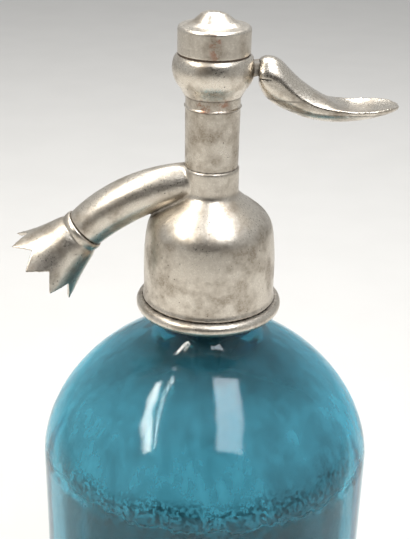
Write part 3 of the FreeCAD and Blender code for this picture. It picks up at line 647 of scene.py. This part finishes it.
def makeBottle():
    b = bottle
    outline = [(r, z, 0) for r, z in outerOutline()] + [(r, z, 1) for r, z in innerOutline()]
    mesh = bmesh.new()
    rings = []
    for r, z, isInner in outline:
        if r < 1e-6:
            rings.append([mesh.verts.new((0, 0, z * mm))])
            continue
        ring = []
        for i in range(b["around"]):
            angle = 2 * math.pi * i / b["around"]
            reach = r + (wallWave(angle, z) if isInner and r > b["wavyOver"] else 0.0)
            ring.append(mesh.verts.new((reach * mm * math.cos(angle), reach * mm * math.sin(angle), z * mm)))
        rings.append(ring)
    for (r, z, isInner), low, high in zip(outline, rings, rings[1:]):
        for i in range(b["around"]):
            j = (i + 1) % b["around"]
            if len(low) == 1:
                corners = [low[0], high[j], high[i]]
            elif len(high) == 1:
                corners = [low[i], low[j], high[0]]
            else:
                corners = [low[i], low[j], high[j], high[i]]
            face = mesh.faces.new(corners)
            face.material_index = isInner
    bmesh.ops.recalc_face_normals(mesh, faces=mesh.faces)
    made = bpy.data.meshes.new("bottle_glass")
    mesh.to_mesh(made)
    mesh.free()
    return made


newPiece("bottle_glass", makeBottle(), "siphon", [hazedGlass, filmedGlass], ["bottle"])
print("bottle blown")


# air seeds in the glass wall, scattered by Geometry Nodes

seeds = {
    "perSquareCm": 1.1,
    "smallest": 0.10,
    "largest": 0.30,
    "seed": 7,
    "depth": 2.4,
    "around": 48,
    "low": 20.0,
    "wallRings": 12,
    "shoulderRings": 20,
    "ballSubdivisions": 2,
}


def treeInput(tree, name, kind, value):  # a named input; the modifier is set by its identifier
    socket = tree.interface.new_socket(name=name, in_out="INPUT", socket_type=kind)
    socket.default_value = value
    return socket.identifier


def makeSeedTree():
    s = seeds
    tree = bpy.data.node_groups.new("scatter_air_seeds", "GeometryNodeTree")
    tree.interface.new_socket(name="Geometry", in_out="INPUT", socket_type="NodeSocketGeometry")
    inputs = {
        "Density": treeInput(tree, "Density", "NodeSocketFloat", s["perSquareCm"] * 1e4),
        "Smallest": treeInput(tree, "Smallest", "NodeSocketFloat", s["smallest"] * mm),
        "Largest": treeInput(tree, "Largest", "NodeSocketFloat", s["largest"] * mm),
        "Seed": treeInput(tree, "Seed", "NodeSocketInt", s["seed"]),
        "Material": treeInput(tree, "Material", "NodeSocketMaterial", None),
    }
    tree.interface.new_socket(name="Geometry", in_out="OUTPUT", socket_type="NodeSocketGeometry")
    start = tree.nodes.new("NodeGroupInput").outputs
    points = addNode(tree, "GeometryNodeDistributePointsOnFaces", {
        "distribute_method": "RANDOM", "Mesh": start["Geometry"], "Density": start["Density"],
        "Seed": start["Seed"]}).outputs["Points"]
    ball = addNode(tree, "GeometryNodeMeshIcoSphere", {
        "Radius": 1.0, "Subdivisions": s["ballSubdivisions"]}).outputs["Mesh"]
    size = addNode(tree, "FunctionNodeRandomValue", {
        "data_type": "FLOAT", 2: start["Smallest"], 3: start["Largest"], "Seed": start["Seed"]}).outputs[1]
    placed = addNode(tree, "GeometryNodeInstanceOnPoints", {
        "Points": points, "Instance": ball, "Scale": size}).outputs["Instances"]
    real = addNode(tree, "GeometryNodeRealizeInstances", {"Geometry": placed}).outputs["Geometry"]
    done = addNode(tree, "GeometryNodeSetMaterial", {
        "Geometry": real, "Material": start["Material"]}).outputs["Geometry"]
    addNode(tree, "NodeGroupOutput", {"Geometry": done})
    return tree, inputs


def seedSheet():  # the sheet in the middle of the wall that the seeds are scattered on
    s, b = seeds, bottle
    radius = b["radius"] - s["depth"]
    rise = b["shoulderStart"] - s["low"]
    shoulder = shoulderPoints(
        radius, b["shoulderRise"] - s["depth"], b["shoulderEnd"] - 1, b["neck"] - s["depth"] + 1, s["shoulderRings"])
    outline = [(radius, s["low"] + rise * i / s["wallRings"]) for i in range(s["wallRings"])]
    outline += shoulder[:s["shoulderRings"] + 1]
    mesh = bmesh.new()
    rings = []
    for r, z in outline:
        ring = []
        for i in range(s["around"]):
            angle = 2 * math.pi * i / s["around"]
            ring.append(mesh.verts.new((r * mm * math.cos(angle), r * mm * math.sin(angle), z * mm)))
        rings.append(ring)
    for low, high in zip(rings, rings[1:]):
        for i in range(s["around"]):
            j = (i + 1) % s["around"]
            mesh.faces.new([low[i], low[j], high[j], high[i]])
    sheet = bpy.data.meshes.new("seed_sheet")
    mesh.to_mesh(sheet)
    mesh.free()
    return sheet


def makeSeeds():
    s = seeds
    carrier = linkedObject("seed_sheet", seedSheet())
    tree, inputs = makeSeedTree()
    modifier = carrier.modifiers.new("seeds", "NODES")
    modifier.node_group = tree
    modifier[inputs["Density"]] = s["perSquareCm"] * 1e4
    modifier[inputs["Smallest"]] = s["smallest"] * mm
    modifier[inputs["Largest"]] = s["largest"] * mm
    modifier[inputs["Seed"]] = s["seed"]
    modifier[inputs["Material"]] = seedAir
    return evaluatedMesh(carrier, "air_seeds")


airSeeds = newPiece("air_seeds", makeSeeds(), "siphon")
print("air seeds:", len(airSeeds.data.polygons), "faces")


# castings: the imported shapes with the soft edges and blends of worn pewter; sizes in mm

castings = {
    "bell": {"body": "siphon", "voxel": 0.42, "soften": 10, "material": castPewter},
    "spout_crown": {"body": "siphon", "voxel": 0.26, "soften": 5, "material": castPewter},
    "lever_handle": {"body": "lever", "voxel": 0.26, "soften": 10, "material": rubbedLever},
    "cap": {"body": "siphon", "voxel": 0.22, "soften": 8, "material": castCap},
}
# the cap's mound: radius and height of its outline, from its flat underside to its top
mound = {
    "outline": [(9.4, 304.4), (9.6, 305.0), (7.6, 305.35), (5.9, 306.1), (4.6, 307.3), (3.4, 308.3), (1.8, 308.9)],
    "top": 309.0,
    "around": 48,
    "lean": 0.45,
    "roundOver": 9.0,  # rings wider than this stay round
    "sways": [(2, 0.10, 0.7), (3, 0.06, 0.0)],  # count round the mound, share, turn
}
slit = {"from": 12.6, "to": 16.6, "height": 290.9, "thick": 0.42, "front": -9.0, "back": -0.8}


def addMound(mesh):
    m = mound
    bottom = m["outline"][0][1]
    rings = []
    for r, z in m["outline"]:
        shift = m["lean"] * (z - bottom) / (m["top"] - bottom)
        ring = []
        for i in range(m["around"]):
            angle = 2 * math.pi * i / m["around"]
            sway = 1 + sum(share * math.cos(count * angle + turn) for count, share, turn in m["sways"])
            reach = r if r > m["roundOver"] else r * sway
            ring.append(mesh.verts.new((
                (reach * math.cos(angle) - shift) * mm, reach * math.sin(angle) * mm, z * mm)))
        rings.append(ring)
    top = mesh.verts.new((-m["lean"] * mm, 0, m["top"] * mm))
    for low, high in zip(rings, rings[1:] + [None]):
        for i in range(m["around"]):
            j = (i + 1) % m["around"]
            mesh.faces.new([low[i], low[j], high[j], high[i]] if high else [low[i], low[j], top])
    mesh.faces.new(list(reversed(rings[0])))


def slitCutter():  # a thin bar that cuts the slit into the knob's near side
    s = slit
    low = (s["from"] * mm, s["front"] * mm, (s["height"] - s["thick"] / 2) * mm)
    high = (s["to"] * mm, s["back"] * mm, (s["height"] + s["thick"] / 2) * mm)
    mesh = bmesh.new()
    bmesh.ops.create_cube(mesh, size=1.0)
    for vert in mesh.verts:
        vert.co = [low[k] if vert.co[k] < 0 else high[k] for k in range(3)]
    made = bpy.data.meshes.new("slit_cutter")
    mesh.to_mesh(made)
    mesh.free()
    return linkedObject("slit_cutter", made)


def makeCasting(node, p):
    copy = linkedObject(node + "_copy", nodes[node].data.copy())
    mesh = bmesh.new()
    mesh.from_mesh(copy.data)
    bmesh.ops.remove_doubles(mesh, verts=mesh.verts, dist=0.002 * mm)
    if node == "cap":
        addMound(mesh)
    mesh.to_mesh(copy.data)
    mesh.free()
    copy.data.materials.clear()
    copy.data.materials.append(p["material"])
    remesh = copy.modifiers.new("remesh", "REMESH")
    remesh.mode = "VOXEL"
    remesh.voxel_size = p["voxel"] * mm
    smooth = copy.modifiers.new("soften", "SMOOTH")
    smooth.factor = 0.5
    smooth.iterations = p["soften"]
    if node != "lever_handle":
        return evaluatedMesh(copy, node + "_cast")
    cutter = slitCutter()
    cut = copy.modifiers.new("slit", "BOOLEAN")
    cut.operation = "DIFFERENCE"
    cut.solver = "EXACT"
    cut.object = cutter
    made = evaluatedMesh(copy, node + "_cast")
    bpy.data.objects.remove(cutter)
    return made


for node, p in castings.items():
    piece = newPiece(node + "_cast", makeCasting(node, p), p["body"], (), [node])
    print(node, "cast:", len(piece.data.polygons), "faces")


# return spring, a helix by Geometry Nodes; sizes in mm

coil = {
    "radius": 3.9,
    "wire": 0.45,
    "turns": 4.0,
    "low": 294.5,
    "high": 302.8,
    "ceiling": 303.3,
    "lift": 2.8,
    "perTurn": 40,
    "section": 12,
}


def makeCoil():
    c = coil
    tree = bpy.data.node_groups.new("wind_coil", "GeometryNodeTree")
    inputs = {
        "Radius": treeInput(tree, "Radius", "NodeSocketFloat", c["radius"] * mm),
        "Wire": treeInput(tree, "Wire", "NodeSocketFloat", c["wire"] * mm),
        "Turns": treeInput(tree, "Turns", "NodeSocketFloat", c["turns"]),
        "Low": treeInput(tree, "Low", "NodeSocketFloat", c["low"] * mm),
        "Rise": treeInput(tree, "Rise", "NodeSocketFloat", (c["high"] - c["low"]) * mm),
        "Material": treeInput(tree, "Material", "NodeSocketMaterial", None),
    }
    tree.interface.new_socket(name="Geometry", in_out="OUTPUT", socket_type="NodeSocketGeometry")
    start = tree.nodes.new("NodeGroupInput").outputs
    helix = addNode(tree, "GeometryNodeCurveSpiral", {
        "Resolution": c["perTurn"], "Rotations": start["Turns"], "Start Radius": start["Radius"],
        "End Radius": start["Radius"], "Height": start["Rise"]}).outputs["Curve"]
    section = addNode(tree, "GeometryNodeCurvePrimitiveCircle", {
        "Resolution": c["section"], "Radius": start["Wire"]}).outputs["Curve"]
    tube = addNode(tree, "GeometryNodeCurveToMesh", {
        "Fill Caps": True, "Curve": helix, "Profile Curve": section}).outputs["Mesh"]
    lift = addNode(tree, "ShaderNodeCombineXYZ", {"Z": start["Low"]}).outputs["Vector"]
    moved = addNode(tree, "GeometryNodeTransform", {"Geometry": tube, "Translation": lift}).outputs["Geometry"]
    real = addNode(tree, "GeometryNodeRealizeInstances", {"Geometry": moved}).outputs["Geometry"]
    done = addNode(tree, "GeometryNodeSetMaterial", {
        "Geometry": real, "Material": start["Material"]}).outputs["Geometry"]
    addNode(tree, "NodeGroupOutput", {"Geometry": done})
    carrier = linkedObject("coil_carrier", bpy.data.meshes.new("coil_carrier"))
    modifier = carrier.modifiers.new("coil", "NODES")
    modifier.node_group = tree
    modifier[inputs["Radius"]] = c["radius"] * mm
    modifier[inputs["Wire"]] = c["wire"] * mm
    modifier[inputs["Turns"]] = c["turns"]
    modifier[inputs["Low"]] = c["low"] * mm
    modifier[inputs["Rise"]] = (c["high"] - c["low"]) * mm
    modifier[inputs["Material"]] = steel
    return evaluatedMesh(carrier, "return_coil")


returnCoil = newPiece("return_coil", makeCoil(), "siphon", (), ["return_spring"])
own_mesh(returnCoil)
print("coil wound")


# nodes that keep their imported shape

dress = {
    "neck_collar": castPewter,
    "column": drawnColumn,
    "lever_housing": castHousing,
    "lever_core": rubbedLever,
    "lever_pin": castHousing,
    "split_ring_front": brass,
    "split_ring_back": brass,
    "valve_seat_ring": brass,
    "gland_nut": brass,
    "piston_rod": brass,
    "valve_screw": brass,
    "piston_yoke": brass,
    "tube_gasket": rubber,
    "head_gasket": rubber,
    "valve_disc": rubber,
    "packing_ring": rubber,
    "cap_gasket": fibre,
    "dip_tube": tubeGlass,
}
for name, material in dress.items():
    dressNode(name, material)
print("nodes dressed")


# floor, light and camera; sizes in metres

studio = {
    "floor": "#DAD8D4",
    "floorShade": "#C9C7C3",
    "floorHalf": 3.0,
    "mottleMm": 60.0,
    "world": "#E6E8EA",
    "worldStrength": 0.62,
    "roomDark": "#4A4744",
    "darkWay": (0.0, -0.97, 0.24),
    "darkFrom": 0.62,
    "darkTo": 0.93,
    "aim": (0, 0, 0.24),
}
# place, the way that its long side runs, length, width, watts, colour
lamps = {
    "left_window": ((-0.69, -0.28, 1.08), (-0.20, -0.81, -0.34), 0.92, 0.10, 6.5, "#FFFAF2"),
    "left_slit": ((-0.56, -0.28, 1.14), (-0.26, -0.88, -0.36), 0.95, 0.022, 1.6, "#FFFAF2"),
    "right_window": ((0.29, -0.345, 1.145), (0.085, -0.88, -0.33), 0.94, 0.36, 9.0, "#F6F9FF"),
    "top_soft": ((0.0, 0.45, 1.25), (1, 0, 0), 0.9, 0.5, 8.0, "#FFFFFF"),
}


def makeFloor():  # pale paper, very faintly mottled
    s = studio
    material, tree = newMaterial("pale_studio_paper")
    place = addNode(tree, "ShaderNodeTexCoord").outputs["Object"]
    mottled = addNode(tree, "ShaderNodeTexNoise", {
        "Vector": place, "Scale": 1 / (s["mottleMm"] * mm), "Detail": 2.0, "Roughness": 0.5}).outputs[0]
    share = addNode(tree, "ShaderNodeMapRange", {
        "interpolation_type": "SMOOTHSTEP", "Value": mottled,
        "From Min": 0.3, "From Max": 0.7, "To Min": 0.0, "To Max": 0.12}).outputs[0]
    colour = addNode(tree, "ShaderNodeMix", {
        "data_type": "RGBA", 0: share, 6: linear(s["floor"]), 7: linear(s["floorShade"])}).outputs[2]
    shader = addNode(tree, "ShaderNodeBsdfPrincipled", {"Roughness": 0.9, "Base Color": colour}).outputs[0]
    addNode(tree, "ShaderNodeOutputMaterial", {"Surface": shader})
    half = s["floorHalf"]
    mesh = bpy.data.meshes.new("floor")
    mesh.from_pydata([(-half, -half, 0), (half, -half, 0), (half, half, 0), (-half, half, 0)], [], [(0, 1, 2, 3)])
    mesh.materials.append(material)
    linkedObject("floor", mesh)


def addLamp(name, place, along, length, width, watts, colour):  # a soft box that faces the object
    lamp = bpy.data.lights.new(name, "AREA")
    lamp.shape = "RECTANGLE"
    lamp.size = length
    lamp.size_y = width
    lamp.energy = watts
    lamp.color = linear(colour)[:3]
    back = (Vector(place) - Vector(studio["aim"])).normalized()
    run = Vector(along) - back * back.dot(Vector(along))
    run.normalize()
    turn = Matrix((run, back.cross(run), back)).transposed().to_4x4()
    linkedObject(name, lamp).matrix_world = Matrix.Translation(place) @ turn


def makeWorld():  # pale all round, with a dark room on the camera's side that every ray but the camera's sees
    s = studio
    world = bpy.data.worlds.new("studio")
    bpy.context.scene.world = world
    world.use_nodes = True
    tree = world.node_tree
    tree.nodes.clear()
    way = addNode(tree, "ShaderNodeTexCoord").outputs["Generated"]
    front = addNode(tree, "ShaderNodeVectorMath", {
        "operation": "DOT_PRODUCT", 0: way, 1: s["darkWay"]}).outputs["Value"]
    dark = addNode(tree, "ShaderNodeMapRange", {
        "interpolation_type": "SMOOTHSTEP", "Value": front,
        "From Min": s["darkFrom"], "From Max": s["darkTo"]}).outputs[0]
    seen = addNode(tree, "ShaderNodeLightPath").outputs["Is Camera Ray"]
    unseen = addNode(tree, "ShaderNodeMath", {"operation": "SUBTRACT", 0: 1.0, 1: seen}).outputs[0]
    dark = addNode(tree, "ShaderNodeMath", {"operation": "MULTIPLY", 0: dark, 1: unseen}).outputs[0]
    light = addNode(tree, "ShaderNodeMix", {
        "data_type": "RGBA", 0: dark, 6: linear(s["world"]), 7: linear(s["roomDark"])}).outputs[2]
    backing = addNode(tree, "ShaderNodeBackground", {"Strength": s["worldStrength"], "Color": light}).outputs[0]
    addNode(tree, "ShaderNodeOutputWorld", {"Surface": backing})


makeFloor()
makeWorld()
for name, values in lamps.items():
    addLamp(name, *values)

camera = {
    "place": (0.0, -0.3069, 0.3733),
    "pitchDown": 25.35,
    "roll": 1.36,
    "lens": 71.93,
    "sensor": 36.0,
    "shift": -0.0074,
    "nearest": 0.01,
}
lens = bpy.data.cameras.new("camera")
lens.lens = camera["lens"]
lens.sensor_width = camera["sensor"]
lens.shift_x = camera["shift"]
lens.clip_start = camera["nearest"]
lookout = linkedObject("camera", lens)
tilt = Matrix.Rotation(math.radians(90 - camera["pitchDown"]), 4, "X")
roll = Matrix.Rotation(math.radians(camera["roll"]), 4, "Z")
lookout.matrix_world = Matrix.Translation(camera["place"]) @ tilt @ roll
bpy.context.scene.camera = lookout
bpy.context.scene.view_settings.view_transform = "Standard"
print("studio set")
